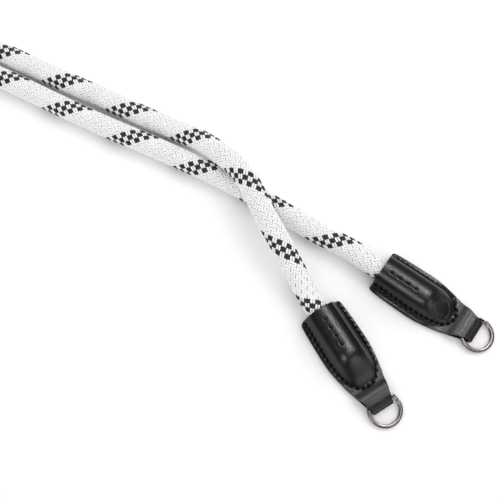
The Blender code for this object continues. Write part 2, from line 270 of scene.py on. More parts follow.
def spun_yarn(name, dark_hex, light_hex, hollow_shade_hex, roughness, sheen):
    material, tree, shader = new_material(name)
    place = add_node(tree, "ShaderNodeUVMap", {"uv_map": "along_yarn"})
    stretched = add_node(
        tree,
        "ShaderNodeMapping",
        links={"Vector": place.outputs["UV"], "Scale": (2.4, 14.0, 1.0), "Rotation": (0.0, 0.0, 0.35)},
    )
    filaments = add_node(
        tree, "ShaderNodeTexNoise", links={"Vector": stretched.outputs["Vector"], "Scale": 1.0, "Detail": 2.0}
    )
    tone = add_node(tree, "ShaderNodeValToRGB", links={"Fac": filaments.outputs["Fac"]})
    tone.color_ramp.elements[0].position = 0.32
    tone.color_ramp.elements[0].color = from_hex(dark_hex)
    tone.color_ramp.elements[1].position = 0.62
    tone.color_ramp.elements[1].color = from_hex(light_hex)
    round_the_yarn = add_node(tree, "ShaderNodeSeparateXYZ", links={"Vector": place.outputs["UV"]})
    from_top = add_node(
        tree, "ShaderNodeMath", {"operation": "SUBTRACT"}, {0: round_the_yarn.outputs["Y"], 1: YARN_TOP}
    )
    to_flank = add_node(tree, "ShaderNodeMath", {"operation": "ABSOLUTE"}, {0: from_top.outputs["Value"]})
    # Painted shade: the colour greys towards the yarn's flanks, where it meets its neighbours.
    hollow_shade = add_node(
        tree,
        "ShaderNodeMapRange",
        {"interpolation_type": "SMOOTHSTEP"},
        {"Value": to_flank.outputs["Value"], "From Min": 0.08, "From Max": 0.25},
    )
    # A slow noise along the yarn makes the painted shade stronger in some patches than in others.
    shade_patches = add_node(
        tree, "ShaderNodeTexNoise", links={"Vector": place.outputs["UV"], "Scale": 0.55, "Detail": 1.0}
    )
    unevenness = add_node(
        tree,
        "ShaderNodeMapRange",
        links={"Value": shade_patches.outputs["Fac"], "From Min": 0.4, "From Max": 0.6, "To Min": 0.25, "To Max": 1.0},
    )
    depth = add_node(
        tree,
        "ShaderNodeMath",
        {"operation": "MULTIPLY"},
        {0: hollow_shade.outputs["Result"], 1: unevenness.outputs["Result"]},
    )
    hollow_shaded = add_node(
        tree,
        "ShaderNodeMix",
        {"data_type": "RGBA"},
        {"Factor": depth.outputs["Value"], "A": tone.outputs["Color"], "B": from_hex(hollow_shade_hex)},
    )
    tree.links.new(hollow_shaded.outputs["Result"], shader.inputs["Base Color"])
    bump = add_node(
        tree,
        "ShaderNodeBump",
        links={"Height": filaments.outputs["Fac"], "Strength": 0.35, "Distance": 0.08 * MM},
    )
    tree.links.new(bump.outputs["Normal"], shader.inputs["Normal"])
    shader.inputs["Roughness"].default_value = roughness
    shader.inputs["Sheen Weight"].default_value = sheen
    shader.inputs["Specular IOR Level"].default_value = 0.15
    shader.inputs["IOR"].default_value = 1.5
    return material


white_yarn = spun_yarn("white_polyester_yarn", "#e2e1e0", "#ffffff", "#9a9999", 0.8, 0.2)
black_yarn = spun_yarn("black_polyester_yarn", "#0f0f11", "#2b2b2e", "#060607", 0.62, 0.1)
# The core is white yarn like the braid. Its mid grey here is painted shade for where it shows between the
# strands.
core_yarn = spun_yarn("rope_core_yarn", "#8c8b8a", "#a4a3a2", "#8c8b8a", 0.9, 0.0)

STRANDS_EACH_WAY = 10
BRAID_PITCH = 0.03456
BRAID_START_ANGLE = math.radians(166.5)
YARN_HALF_HEIGHT = 0.00045
YARN_HALF_WIDTH = 0.00057
YARN_SIDES = 6
OVER_RADIUS = ROPE_DIAMETER / 2 - YARN_HALF_HEIGHT
UNDER_RADIUS = 0.00382
# The rope was turned a little as each end was pushed into its pocket. The turn, in radians, dies out over
# about TWIST_REACH from the mouth.
LEFT_TWIST = 1.15
RIGHT_TWIST = -0.50
TWIST_REACH = 0.014
# One over and under of a strand. turn: how far along, in strands crossed. rise: 1 on top, -1 underneath.
FLOAT_SHAPE = [
    {"turn": -0.45, "rise": 0.45},
    {"turn": -0.20, "rise": 0.97},
    {"turn": 0.20, "rise": 0.97},
    {"turn": 0.45, "rise": 0.45},
    {"turn": 0.80, "rise": -0.90},
    {"turn": 1.20, "rise": -0.90},
]


def yarn_tube(way, strand, offset, fullness):
    """The rings of one yarn of a strand. way is 1 for the strands that turn the tracer's way, and -1 for the
    others. fullness is how thick it is for its width in the braid."""
    last = 2 * STRANDS_EACH_WAY * rope_length / BRAID_PITCH
    first_pair = -2 * STRANDS_EACH_WAY
    turns, rises = [], []
    for pair in range(first_pair, int(last / 2) + 2 * STRANDS_EACH_WAY):
        for row in FLOAT_SHAPE:
            turns.append(2 * pair + row["turn"])
            rises.append(row["rise"])
    turns, rises = np.array(turns), np.array(rises)
    lane = strand + offset
    if way > 0:
        crossed = turns + strand
        angle = 2 * math.pi * (lane - crossed) / (2 * STRANDS_EACH_WAY)
        along = BRAID_PITCH * (lane + crossed) / (2 * STRANDS_EACH_WAY)
    else:
        crossed = turns + strand + 1
        along = BRAID_PITCH * (lane + crossed) / (2 * STRANDS_EACH_WAY)
        angle = 2 * math.pi * (crossed - lane) / (2 * STRANDS_EACH_WAY)
    radius = (OVER_RADIUS + UNDER_RADIUS) / 2 + (OVER_RADIUS - UNDER_RADIUS) / 2 * rises
    inside = (along > 0) & (along < rope_length)
    along, angle, radius = along[inside], angle[inside] + BRAID_START_ANGLE, radius[inside]
    angle += LEFT_TWIST * np.exp(-(((along - ROPE_DEPTH) / TWIST_REACH) ** 2))
    angle += RIGHT_TWIST * np.exp(-(((rope_length - ROPE_DEPTH - along) / TWIST_REACH) ** 2))
    up, side = on_rope(rope_up, along), on_rope(rope_side, along)
    outward = unit(up * np.cos(angle)[:, None] + side * np.sin(angle)[:, None])
    middle = on_rope(rope_line, along) + outward * radius[:, None]
    forward = unit(np.gradient(middle, axis=0))
    across = unit(np.cross(outward, forward))
    outward = np.cross(forward, across)
    around = 2 * math.pi * np.arange(YARN_SIDES) / YARN_SIDES
    rings = (
        middle[:, None]
        + across[:, None] * (fullness * YARN_HALF_WIDTH * np.cos(around))[None, :, None]
        + outward[:, None] * (fullness * YARN_HALF_HEIGHT * np.sin(around))[None, :, None]
    )
    travelled = np.concatenate([[0.0], np.cumsum(np.linalg.norm(np.diff(middle, axis=0), axis=1))])
    return rings, travelled


def strands(way, numbers, fullness):
    return [yarn_tube(way, number, offset, fullness) for number in numbers for offset in (-0.25, 0.25)]


BLACK_STRANDS = (-1, 0, 1)
braid_parts = [
    ("rope_black_tracer", 1, BLACK_STRANDS, 1.16, black_yarn),
    ("rope_white_strands_a", 1, (2, 3, 4), 1.0, white_yarn),
    ("rope_white_strands_b", 1, (5, 6, 7, 8), 1.0, white_yarn),
    ("rope_white_strands_c", -1, range(0, 5), 1.0, white_yarn),
    ("rope_white_strands_d", -1, range(5, 10), 1.0, white_yarn),
]
for name, way, numbers, fullness, material in braid_parts:
    strand_mesh = mesh_from_tubes(name, strands(way, numbers, fullness))
    add_piece(name, strand_mesh, "strap", material)

CORE_RADIUS = 0.00375
CORE_SIDES = 20
core_points = natural_spline(rope_route, 3 * MM)
core_points[:, 2] = np.maximum(core_points[:, 2], ROPE_DIAMETER / 2)
core_along = np.concatenate([[0.0], np.cumsum(np.linalg.norm(np.diff(core_points, axis=0), axis=1))])
core_up, core_side = on_rope(rope_up, core_along), on_rope(rope_side, core_along)
core_around = 2 * math.pi * np.arange(CORE_SIDES) / CORE_SIDES
core_rings = (
    core_points[:, None]
    + core_side[:, None] * (CORE_RADIUS * np.sin(core_around))[None, :, None]
    + core_up[:, None] * (CORE_RADIUS * np.cos(core_around))[None, :, None]
)
core_mesh = mesh_from_tubes("rope_core", [(core_rings, core_along)])
rope_core = add_piece("rope_core", core_mesh, "strap", core_yarn)
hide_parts("rope")


# Leather ends: each is one strip of black bridle leather, thinned to 1.15 mm, folded round its ring and sewn
# back on itself. The upper layer was wetted and pressed over the rope, so it stands up in a hump that ends
# before the seam does. The cut edges are sanded, blacked and rubbed until they shine.
LEATHER_THICKNESS = 0.00115
END_LENGTH = 0.0483
END_WIDTH = 0.0213
FLANGE_HEIGHT = 0.0024
CROWN_HEIGHT = 0.0130
FAR_SIDE = 1.2
FOLD_RADIUS = 0.0024
TONGUE_START = 0.03646
TONGUE_RISE = (0.0357, 0.0415)
TONGUE_TOP = 0.00542
# Where the tongue starts down to the fold, and its height there
TONGUE_END = (0.0445, 0.0052)
# Plan of the strip. along: share of END_LENGTH. width: share of END_WIDTH.
PLAN = [
    {"along": 0.000, "width": 0.860},
    {"along": 0.006, "width": 0.900},
    {"along": 0.015, "width": 0.922},
    {"along": 0.030, "width": 0.938},
    {"along": 0.090, "width": 0.964},
    {"along": 0.150, "width": 0.978},
    {"along": 0.210, "width": 0.987},
    {"along": 0.300, "width": 0.995},
    {"along": 0.400, "width": 1.000},
    {"along": 0.460, "width": 0.992},
    {"along": 0.525, "width": 0.963},
    {"along": 0.585, "width": 0.913},
    {"along": 0.650, "width": 0.857},
    {"along": 0.710, "width": 0.798},
    {"along": 0.770, "width": 0.715},
    {"along": 0.835, "width": 0.627},
    {"along": 0.895, "width": 0.540},
    {"along": 1.000, "width": 0.440},
]
# The hump over the rope. along: share of the way to TONGUE_START. foot: from the hump's middle to its near
# foot, as a share of half END_WIDTH; its far foot is FAR_SIDE times that away. crown: share of its height.
# aside: share of ROPE_ASIDE.
HUMP_ALONG = [
    {"along": 0.000, "foot": 0.645, "crown": 1.000, "aside": 1.00},
    {"along": 0.160, "foot": 0.655, "crown": 1.000, "aside": 1.00},
    {"along": 0.605, "foot": 0.655, "crown": 1.000, "aside": 1.00},
    {"along": 0.665, "foot": 0.655, "crown": 0.940, "aside": 0.90},
    {"along": 0.730, "foot": 0.650, "crown": 0.770, "aside": 0.75},
    {"along": 0.800, "foot": 0.630, "crown": 0.530, "aside": 0.55},
    {"along": 0.865, "foot": 0.590, "crown": 0.300, "aside": 0.35},
    {"along": 0.925, "foot": 0.520, "crown": 0.120, "aside": 0.15},
    {"along": 0.975, "foot": 0.430, "crown": 0.015, "aside": 0.00},
    {"along": 1.000, "foot": 0.380, "crown": 0.000, "aside": 0.00},
]
# Half of the hump in cross-section, from its crown to its foot.
HUMP_ACROSS = [
    {"across": 0.00, "height": 1.000},
    {"across": 0.22, "height": 0.984},
    {"across": 0.42, "height": 0.936},
    {"across": 0.60, "height": 0.858},
    {"across": 0.75, "height": 0.754},
    {"across": 0.84, "height": 0.610},
    {"across": 0.92, "height": 0.445},
    {"across": 1.00, "height": 0.290},
    {"across": 1.08, "height": 0.160},
    {"across": 1.16, "height": 0.068},
    {"across": 1.23, "height": 0.018},
    {"across": 1.29, "height": 0.000},
]
UPPER_ROWS = 210
FOLD_ROWS = 16
HALF_COLUMNS = 42
# The flat underside has fewer rows than the top. They lie closest at the mouth, where its corners are rounded.
LOWER_ROWS = 30
LOWER_CROWDING = 1.6


def table_value(table, key, share):
    return np.interp(share, [row["along"] for row in table], [row[key] for row in table])


def softened(values, reach):
    """The values, each replaced by a weighted mean of its neighbours, so that a polyline turns smoothly."""
    weights = np.hanning(2 * reach + 3)[1:-1]
    before = 2 * values[0] - values[reach:0:-1]
    after = 2 * values[-1] - values[-2 : -reach - 2 : -1]
    return np.convolve(np.concatenate([before, values, after]), weights / weights.sum(), "valid")


fold_centre_along = END_LENGTH - FOLD_RADIUS
stations = np.linspace(0.0, fold_centre_along, UPPER_ROWS + 1)
pocket_share = np.clip(stations / TONGUE_START, 0.0, 1.0)
half_widths = END_WIDTH / 2 * softened(table_value(PLAN, "width", stations / END_LENGTH), 3)
feet = END_WIDTH / 2 * softened(table_value(HUMP_ALONG, "foot", pocket_share), 15)
rises = (CROWN_HEIGHT - FLANGE_HEIGHT) * softened(table_value(HUMP_ALONG, "crown", pocket_share), 15)
asides = ROPE_ASIDE * softened(table_value(HUMP_ALONG, "aside", pocket_share), 15)
swell = np.clip((stations - TONGUE_RISE[0]) / (TONGUE_RISE[1] - TONGUE_RISE[0]), 0.0, 1.0)
flange = FLANGE_HEIGHT + (TONGUE_TOP - FLANGE_HEIGHT) * swell**2 * (3 - 2 * swell)
descent = np.interp(
    stations,
    [TONGUE_RISE[1], TONGUE_END[0], fold_centre_along],
    [TONGUE_TOP, TONGUE_END[1], 2 * FOLD_RADIUS],
)
flange = softened(np.where(stations < TONGUE_RISE[1], flange, descent), 5)


def half_profile(foot, aside, half_width, base, rise):
    """Half of the upper layer's section from its crown to its edge, evenly spaced along the leather."""
    across = np.array([foot * row["across"] + aside for row in HUMP_ACROSS])
    height = np.array([base + rise * row["height"] for row in HUMP_ACROSS])
    height = np.append(height[across < half_width], base)
    across = np.append(across[across < half_width], half_width)
    reach = np.concatenate([[0.0], np.cumsum(np.hypot(np.diff(across), np.diff(height)))])
    even = np.linspace(0.0, reach[-1], 160)
    across, height = np.interp(even, reach, across), np.interp(even, reach, height)
    mirrored_across = np.concatenate([2 * across[0] - across[:0:-1], across])
    mirrored_height = np.concatenate([height[:0:-1], height])
    across, height = (softened(values, 11)[len(even) - 1 :] for values in (mirrored_across, mirrored_height))
    reach = np.concatenate([[0.0], np.cumsum(np.hypot(np.diff(across), np.diff(height)))])
    wanted = np.linspace(0.0, reach[-1], HALF_COLUMNS + 1)
    return np.interp(wanted, reach, across), np.interp(wanted, reach, height), wanted


def whole_profile(row):
    """The upper layer's section at a station, edge to edge: across, height and distance along the leather."""
    near = half_profile(feet[row], -asides[row], half_widths[row], flange[row], rises[row])
    far = half_profile(feet[row] * FAR_SIDE, asides[row], half_widths[row], flange[row], rises[row])
    across = np.concatenate([-near[0][:0:-1], far[0]])
    height = np.concatenate([near[1][:0:-1], far[1]])
    reach = np.concatenate([-near[2][:0:-1], far[2]])
    return across, height, reach


upper = np.array([whole_profile(row) for row in range(UPPER_ROWS + 1)])
upper_across, upper_height, upper_reach = upper[:, 0], upper[:, 1], upper[:, 2]


def height_above(along, across):
    """The height of the upper layer's face over these places."""
    row = np.clip(np.asarray(along) / fold_centre_along * UPPER_ROWS, 0, UPPER_ROWS - 1e-6)
    first = row.astype(int)
    low = np.array([np.interp(a, upper_across[i], upper_height[i]) for i, a in zip(first, across)])
    high = np.array([np.interp(a, upper_across[i + 1], upper_height[i + 1]) for i, a in zip(first, across)])
    return low + (high - low) * (row - first)


# Where the needle goes down: round three sides of the pocket, and in a short row on the hump, through the
# rope. along: millimetres from the mouth. half: millimetres to each side of the strip's middle.
SEAM = [
    {"along": 1.6, "half": 8.9},
    {"along": 6.0, "half": 8.95},
    {"along": 12.0, "half": 9.2},
    {"along": 20.0, "half": 9.3},
    {"along": 25.0, "half": 8.95},
    {"along": 30.0, "half": 8.0},
    {"along": 33.0, "half": 6.85},
    {"along": 35.2, "half": 5.2},
    {"along": 36.7, "half": 2.9},
    {"along": 37.1, "half": 0.0},
]
STITCH_LENGTH = 0.00254
CORNER_CUTS = 3
# How each end was sewn. seam_width: share of SEAM's. ridge_from: its first hole through the rope. marked:
# whether a plain ring is pressed into it.
SEWN = {
    "left": {"seam_width": 1.00, "ridge_from": 0.0049, "marked": False},
    "right": {"seam_width": 0.93, "ridge_from": 0.0041, "marked": True},
}
RIDGE_STITCH = 0.0041
RIDGE_HOLES = 4
RIDGE_ACROSS = ROPE_ASIDE - 0.0006


def seam_path(seam_width):
    """The seam from one side of the mouth to the other, its corners cut until it runs round."""
    along = np.array([row["along"] for row in SEAM]) * MM
    half = np.array([row["half"] for row in SEAM]) * MM * seam_width
    path = np.concatenate([np.stack([along, half], axis=1), np.stack([along, -half], axis=1)[-2::-1]])
    for _ in range(CORNER_CUTS):
        shorter = np.empty((2 * len(path) - 2, 2))
        shorter[0::2] = path[:-1] * 0.75 + path[1:] * 0.25
        shorter[1::2] = path[:-1] * 0.25 + path[1:] * 0.75
        path = np.concatenate([path[:1], shorter, path[-1:]])
    return path


def spaced(path, count):
    """This many points at equal distances along a path."""
    travel = np.concatenate([[0.0], np.cumsum(np.linalg.norm(np.diff(path, axis=0), axis=1))])
    wanted = np.linspace(0.0, travel[-1], count)
    return np.stack([np.interp(wanted, travel, path[:, k]) for k in (0, 1)], axis=1)


def seam_holes(side):
    path = seam_path(SEWN[side]["seam_width"])
    length = np.linalg.norm(np.diff(path, axis=0), axis=1).sum()
    return spaced(path, round(length / STITCH_LENGTH) + 1)


def ridge_holes(side):
    along = SEWN[side]["ridge_from"] + RIDGE_STITCH * np.arange(RIDGE_HOLES)
    return np.stack([along, np.full(RIDGE_HOLES, RIDGE_ACROSS)], axis=1)


def from_holes(places, holes, half_long, half_wide):
    """How far each place is from its nearest hole: 0 in the hole's middle and 1 at its rim."""
    turn = unit(np.gradient(holes, axis=0))
    offset = places[:, None] - holes[None]
    lengthwise = (offset * turn[None]).sum(axis=2) / half_long
    crosswise = (offset[..., 1] * turn[None, :, 0] - offset[..., 0] * turn[None, :, 1]) / half_wide
    return np.sqrt(lengthwise**2 + crosswise**2).min(axis=1)


def leather_material(name):
    """Vegetable-tanned leather, dyed black through and waxed: a fine pebbled grain with a soft shine. It's
    dull and unwaxed in the stitch holes, and painted shade blackens them."""
    material, tree, shader = new_material(name)
    place = add_node(tree, "ShaderNodeUVMap", {"uv_map": "on_hide"})
    in_mm = add_node(
        tree, "ShaderNodeMapping", links={"Vector": place.outputs["UV"], "Scale": (1000.0, 1000.0, 1000.0)}
    )
    pebbles = add_node(
        tree,
        "ShaderNodeTexVoronoi",
        {"feature": "SMOOTH_F1"},
        {"Vector": in_mm.outputs["Vector"], "Scale": 3.0},
    )
    clouds = add_node(
        tree, "ShaderNodeTexNoise", links={"Vector": in_mm.outputs["Vector"], "Scale": 0.35, "Detail": 4.0}
    )
    hollow_shades = add_node(tree, "ShaderNodeAttribute", {"attribute_name": "hollow_shade"})
    tone = add_node(tree, "ShaderNodeValToRGB", links={"Fac": clouds.outputs["Fac"]})
    tone.color_ramp.elements[0].position = 0.35
    tone.color_ramp.elements[0].color = from_hex("#050506")
    tone.color_ramp.elements[1].position = 0.7
    tone.color_ramp.elements[1].color = from_hex("#0b0b0d")
    # Painted shade: the colour goes to near black in the stitch holes.
    sunk = add_node(
        tree,
        "ShaderNodeMix",
        {"data_type": "RGBA"},
        {"Factor": hollow_shades.outputs["Fac"], "A": tone.outputs["Color"], "B": from_hex("#020202")},
    )
    tree.links.new(sunk.outputs["Result"], shader.inputs["Base Color"])
    shine = add_node(
        tree, "ShaderNodeMapRange", links={"Value": clouds.outputs["Fac"], "To Min": 0.38, "To Max": 0.50}
    )
    dulled = add_node(
        tree,
        "ShaderNodeMath",
        {"operation": "MULTIPLY_ADD"},
        {0: hollow_shades.outputs["Fac"], 1: 0.4, 2: shine.outputs["Result"]},
    )
    tree.links.new(dulled.outputs["Value"], shader.inputs["Roughness"])
    grain = add_node(
        tree,
        "ShaderNodeBump",
        links={"Height": pebbles.outputs["Distance"], "Strength": 0.55, "Distance": 0.11 * MM},
    )
    tree.links.new(grain.outputs["Normal"], shader.inputs["Normal"])
    tree.links.new(grain.outputs["Normal"], shader.inputs["Coat Normal"])
    shader.inputs["IOR"].default_value = 1.5
    shader.inputs["Specular IOR Level"].default_value = 0.12
    wax = add_node(
        tree, "ShaderNodeMapRange", links={"Value": hollow_shades.outputs["Fac"], "To Min": 0.3, "To Max": 0.0}
    )
    tree.links.new(wax.outputs["Result"], shader.inputs["Coat Weight"])
    shader.inputs["Coat Roughness"].default_value = 0.27
    shader.inputs["Coat IOR"].default_value = 1.45
    return material


black_leather = leather_material("waxed_black_leather")
SEAM_HOLE = (0.00078, 0.00056)
RIDGE_HOLE = (0.00088, 0.00058)
HOLE_DEPTH = 0.00048
# The pressed line under each row of stitches: its depth, and how far it spreads
SEAM_GROOVE = (0.00010, 0.00055)
RIDGE_CREASE = (0.00010, 0.00080)
MARK_ALONG = 0.0295
MARK_ACROSS = -0.0008
MARK_RADIUS = 0.0043
MARK_RIM = (0.00026, 0.00032)
MARK_SUNK = (0.00010, 0.00012)
RUBBED_EDGE = 0.00028


def leather_end(side, mouth, heading):
    """The strip is a flat grid, laid under, round and over the ring, then given its thickness and edges."""
    bpy.ops.object.select_all(action="DESELECT")
    rows = LOWER_ROWS + FOLD_ROWS + UPPER_ROWS
    columns = 2 * HALF_COLUMNS
    bpy.ops.mesh.primitive_grid_add(x_subdivisions=rows, y_subdivisions=columns, size=1.0)
    piece = bpy.context.active_object
    piece.name = f"{side}_leather"
    outer_count = len(piece.data.vertices)
    grid = np.empty((outer_count, 3), np.float32)
    piece.data.vertices.foreach_get("co", grid.ravel())
    row = np.rint((grid[:, 0] + 0.5) * rows).astype(int)
    column = np.rint((grid[:, 1] + 0.5) * columns).astype(int)
    share = column / HALF_COLUMNS - 1.0
    under = row <= LOWER_ROWS
    over = row >= LOWER_ROWS + FOLD_ROWS
    turn = np.clip((row - LOWER_ROWS) / FOLD_ROWS, 0.0, 1.0) * math.pi
    below = fold_centre_along * np.clip(row / LOWER_ROWS, 0.0, 1.0) ** LOWER_CROWDING
    along = np.where(under, below, fold_centre_along + FOLD_RADIUS * np.sin(turn))
    station = np.clip(rows - row, 0, UPPER_ROWS)
    along[over] = stations[station[over]]
    width = np.where(
        along <= fold_centre_along,
        np.interp(along, stations, half_widths),
        END_WIDTH / 2 * table_value(PLAN, "width", along / END_LENGTH),
    )
    across = width * share
    height = np.where(under, 0.0, FOLD_RADIUS * (1 - np.cos(turn)))
    strip = np.where(under, along, fold_centre_along + FOLD_RADIUS * turn)
    across[over] = upper_across[station[over], column[over]]
    height[over] = upper_height[station[over], column[over]]
    strip[over] += fold_centre_along - along[over]
    on_hide = np.stack([strip, across], axis=1)
    on_hide[over, 1] = upper_reach[station[over], column[over]]
    places = np.stack([along, across, height], axis=1)
    piece.data.vertices.foreach_set("co", places.astype(np.float32).ravel())
    corners = np.empty(len(piece.data.loops), np.int32)
    piece.data.loops.foreach_get("vertex_index", corners)
    piece.data.uv_layers[0].name = "on_hide"
    piece.data.uv_layers["on_hide"].uv.foreach_set("vector", on_hide[corners].astype(np.float32).ravel())
    bpy.ops.object.mode_set(mode="EDIT")
    bpy.ops.mesh.select_all(action="SELECT")
    bpy.ops.mesh.flip_normals()
    bpy.ops.object.mode_set(mode="OBJECT")
    normals = np.empty((outer_count, 3), np.float32)
    piece.data.vertices.foreach_get("normal", normals.ravel())

    # Pressed lines, stitch holes and the creases that the thread pulls
    flat = places[:, :2]
    lined = spaced(seam_path(SEWN[side]["seam_width"]), 240)
    from_seam = np.sqrt(((flat[:, None] - lined[None]) ** 2).sum(axis=2)).min(axis=1)
    in_seam_hole = from_holes(flat, seam_holes(side), *SEAM_HOLE)
    groove = SEAM_GROOVE[0] * np.exp(-((from_seam / SEAM_GROOVE[1]) ** 2))
    sunk = groove + HOLE_DEPTH * np.exp(-(in_seam_hole**4))
    # Painted shade mask: 1 in the middle of each stitch hole, where the leather's colour is painted black. The
    # ridge's holes get it too, below.
    hollow_shade = np.exp(-((in_seam_hole / 1.05) ** 6))
    top = over & (height > FLANGE_HEIGHT + 0.5 * MM)
    ridge = ridge_holes(side)
    past_ridge = np.maximum(np.maximum(ridge[0, 0] - along, along - ridge[-1, 0]), 0.0)
    from_ridge = np.hypot(past_ridge, across - RIDGE_ACROSS)
    in_ridge_hole = from_holes(flat, ridge, *RIDGE_HOLE)
    crease = RIDGE_CREASE[0] * np.exp(-((from_ridge / RIDGE_CREASE[1]) ** 2))
    pulled = crease + HOLE_DEPTH * np.exp(-(in_ridge_hole**4))
    sunk += np.where(top, pulled, 0.0)
    hollow_shade += np.where(top, np.exp(-((in_ridge_hole / 1.05) ** 6)), 0.0)
    if SEWN[side]["marked"]:
        from_mark = np.hypot(along - MARK_ALONG, across - MARK_ACROSS)
        rim = MARK_RIM[0] * np.exp(-(((from_mark - MARK_RADIUS) / MARK_RIM[1]) ** 2))
        inside = MARK_SUNK[0] / (1 + np.exp((from_mark - MARK_RADIUS) / MARK_SUNK[1]))
        sunk += np.where(over, rim + inside, 0.0)

    wall = piece.modifiers.new("wall", "SOLIDIFY")
    wall.thickness = LEATHER_THICKNESS
    wall.offset = -1.0
    wall.use_even_offset = True
    bpy.ops.object.modifier_apply(modifier=wall.name)
    walled = np.empty((len(piece.data.vertices), 3), np.float32)
    piece.data.vertices.foreach_get("co", walled.ravel())
    walled[:outer_count] -= normals * sunk[:, None]
    walled[:, 2] = np.maximum(walled[:, 2], 0.0)
    piece.data.vertices.foreach_set("co", walled.ravel())
    hollow_shades = np.zeros(len(walled), np.float32)
    hollow_shades[:outer_count] = np.clip(hollow_shade, 0.0, 1.0)
    piece.data.attributes.new("hollow_shade", "FLOAT", "POINT").data.foreach_set("value", hollow_shades)
    rubbed = piece.modifiers.new("rubbed_edges", "BEVEL")
    rubbed.width = RUBBED_EDGE
    rubbed.segments = 2
    rubbed.limit_method = "ANGLE"
    rubbed.angle_limit = math.radians(60)
    bpy.ops.object.modifier_apply(modifier=rubbed.name)
    bpy.ops.object.shade_smooth_by_angle(angle=math.radians(50))
    piece.data.transform(Matrix.Translation((*mouth, 0.0)) @ Matrix.Rotation(heading, 4, "Z"))
    piece.data.materials.append(black_leather)
    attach(piece, "strap")
    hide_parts(f"{side}_leather_end")
    return piece


leather_end("left", LEFT_MOUTH, LEFT_HEADING)
leather_end("right", RIGHT_MOUTH, RIGHT_HEADING)


# Stitching: waxed black linen thread, 0.54 mm thick, sewn by hand through punched holes. Each stitch dips
# into its two holes and lies slightly slanted between them, above and below. Three longer ones on the hump
# hold the rope.
THREAD_RADIUS = 0.00027
STITCH_SLANT = math.radians(9)
# One stitch from hole to hole. along: share of its length. rise: how far its middle stands above the leather,
# as a share of THREAD_RADIUS.
STITCH_ARCH = [
    {"along": 0.02, "rise": -2.2},
    {"along": 0.10, "rise": -0.7},
    {"along": 0.22, "rise": 0.25},
    {"along": 0.50, "rise": 0.45},
    {"along": 0.78, "rise": 0.25},
    {"along": 0.90, "rise": -0.7},
    {"along": 0.98, "rise": -2.2},
]
THREAD_SIDES = 8


def stitch_tube(start, end, slant, below, place):
    """The rings of one stitch between two holes, given in the leather end's own along and across."""
    run = end - start
    middle = (start + end) / 2
    cos, sin = math.cos(slant), math.sin(slant)
    turned = np.array([run[0] * cos - run[1] * sin, run[0] * sin + run[1] * cos])
    shares = np.array([row["along"] for row in STITCH_ARCH])
    rise = np.array([row["rise"] for row in STITCH_ARCH]) * THREAD_RADIUS
    flat = middle + (shares - 0.5)[:, None] * turned
    if below:
        height = THREAD_RADIUS * 1.02 - np.minimum(rise, 0.0)
    else:
        height = height_above(flat[:, 0], flat[:, 1]) + rise
    line = np.column_stack([flat, height])
    forward = unit(np.gradient(line, axis=0))
    across = unit(np.cross(np.tile((0.0, 0.0, 1.0), (len(line), 1)), forward))
    outward = np.cross(forward, across)
    around = 2 * math.pi * np.arange(THREAD_SIDES) / THREAD_SIDES
    rings = (
        line[:, None]
        + across[:, None] * (THREAD_RADIUS * np.cos(around))[None, :, None]
        + outward[:, None] * (THREAD_RADIUS * np.sin(around))[None, :, None]
    )
    turn, shift = np.array(place.to_3x3()), np.array(place.translation)
    rings = rings @ turn.T + shift
    travelled = np.concatenate([[0.0], np.cumsum(np.linalg.norm(np.diff(line, axis=0), axis=1))])
    return rings, travelled


waxed_thread = spun_yarn("waxed_black_thread", "#070708", "#1b1b1d", "#040405", 0.38, 0.0)
for side, mouth, heading in (("left", LEFT_MOUTH, LEFT_HEADING), ("right", RIGHT_MOUTH, RIGHT_HEADING)):
    place = Matrix.Translation((*mouth, 0.0)) @ Matrix.Rotation(heading, 4, "Z")
    tubes = []
    holes = seam_holes(side)
    for start, end in zip(holes[:-1], holes[1:]):
        tubes.append(stitch_tube(start, end, STITCH_SLANT, False, place))
        tubes.append(stitch_tube(start, end, -STITCH_SLANT, True, place))
    ridge = ridge_holes(side)
    for start, end in zip(ridge[:-1], ridge[1:]):
        tubes.append(stitch_tube(start, end, 0.0, False, place))
    stitching = mesh_from_tubes(f"{side}_stitching", tubes)
    add_piece(f"{side}_stitching", stitching, "strap", waxed_thread)


# Split rings: flat-drawn spring steel wire, coiled twice round and tumbled, then plated in dark nickel. The
# two coils lie close on each other, with one short step where the wire climbs from the first to the second.
RING_DIAMETER = 0.0150
RING_BAND = 0.0015
RING_WIRE_HEIGHT = 0.00082
RING_COIL_GAP = 0.00006
RING_CORNER = 0.00030
RING_STEP_ANGLE = math.radians(24)
RING_START_ANGLE = math.radians(118)
RING_END_GAP_ANGLE = math.radians(4)
RING_TILT = 0.149621
RING_CENTRE_ALONG = 0.0487
RING_CENTRE_HEIGHT = 0.0019585
RING_ASIDE = {"left": 0.0003, "right": -0.0003}
RING_POINTS = 220


def ring_wire_section():
    """The wire in cross-section, flat with rounded corners, as a closed guide curve."""
    curve = bpy.data.curves.new("ring_wire_section", "CURVE")
    curve.dimensions = "2D"
    corners = []
    for corner, (x, y) in enumerate(((1, 1), (-1, 1), (-1, -1), (1, -1))):
        middle = (x * (RING_BAND / 2 - RING_CORNER), y * (RING_WIRE_HEIGHT / 2 - RING_CORNER))
        for step in range(4):
            angle = math.pi / 2 * (corner + step / 3)
            round_it = (RING_CORNER * math.cos(angle), RING_CORNER * math.sin(angle))
            corners.append((middle[0] + round_it[0], middle[1] + round_it[1]))
    corners.reverse()
    spline = curve.splines.new("POLY")
    spline.points.add(len(corners) - 1)
    for point, (x, y) in zip(spline.points, corners):
        point.co = (x, y, 0.0, 1.0)
    spline.use_cyclic_u = True
    section = bpy.data.objects.new("ring_wire_section", curve)
    bpy.context.scene.collection.objects.link(section)
    return section


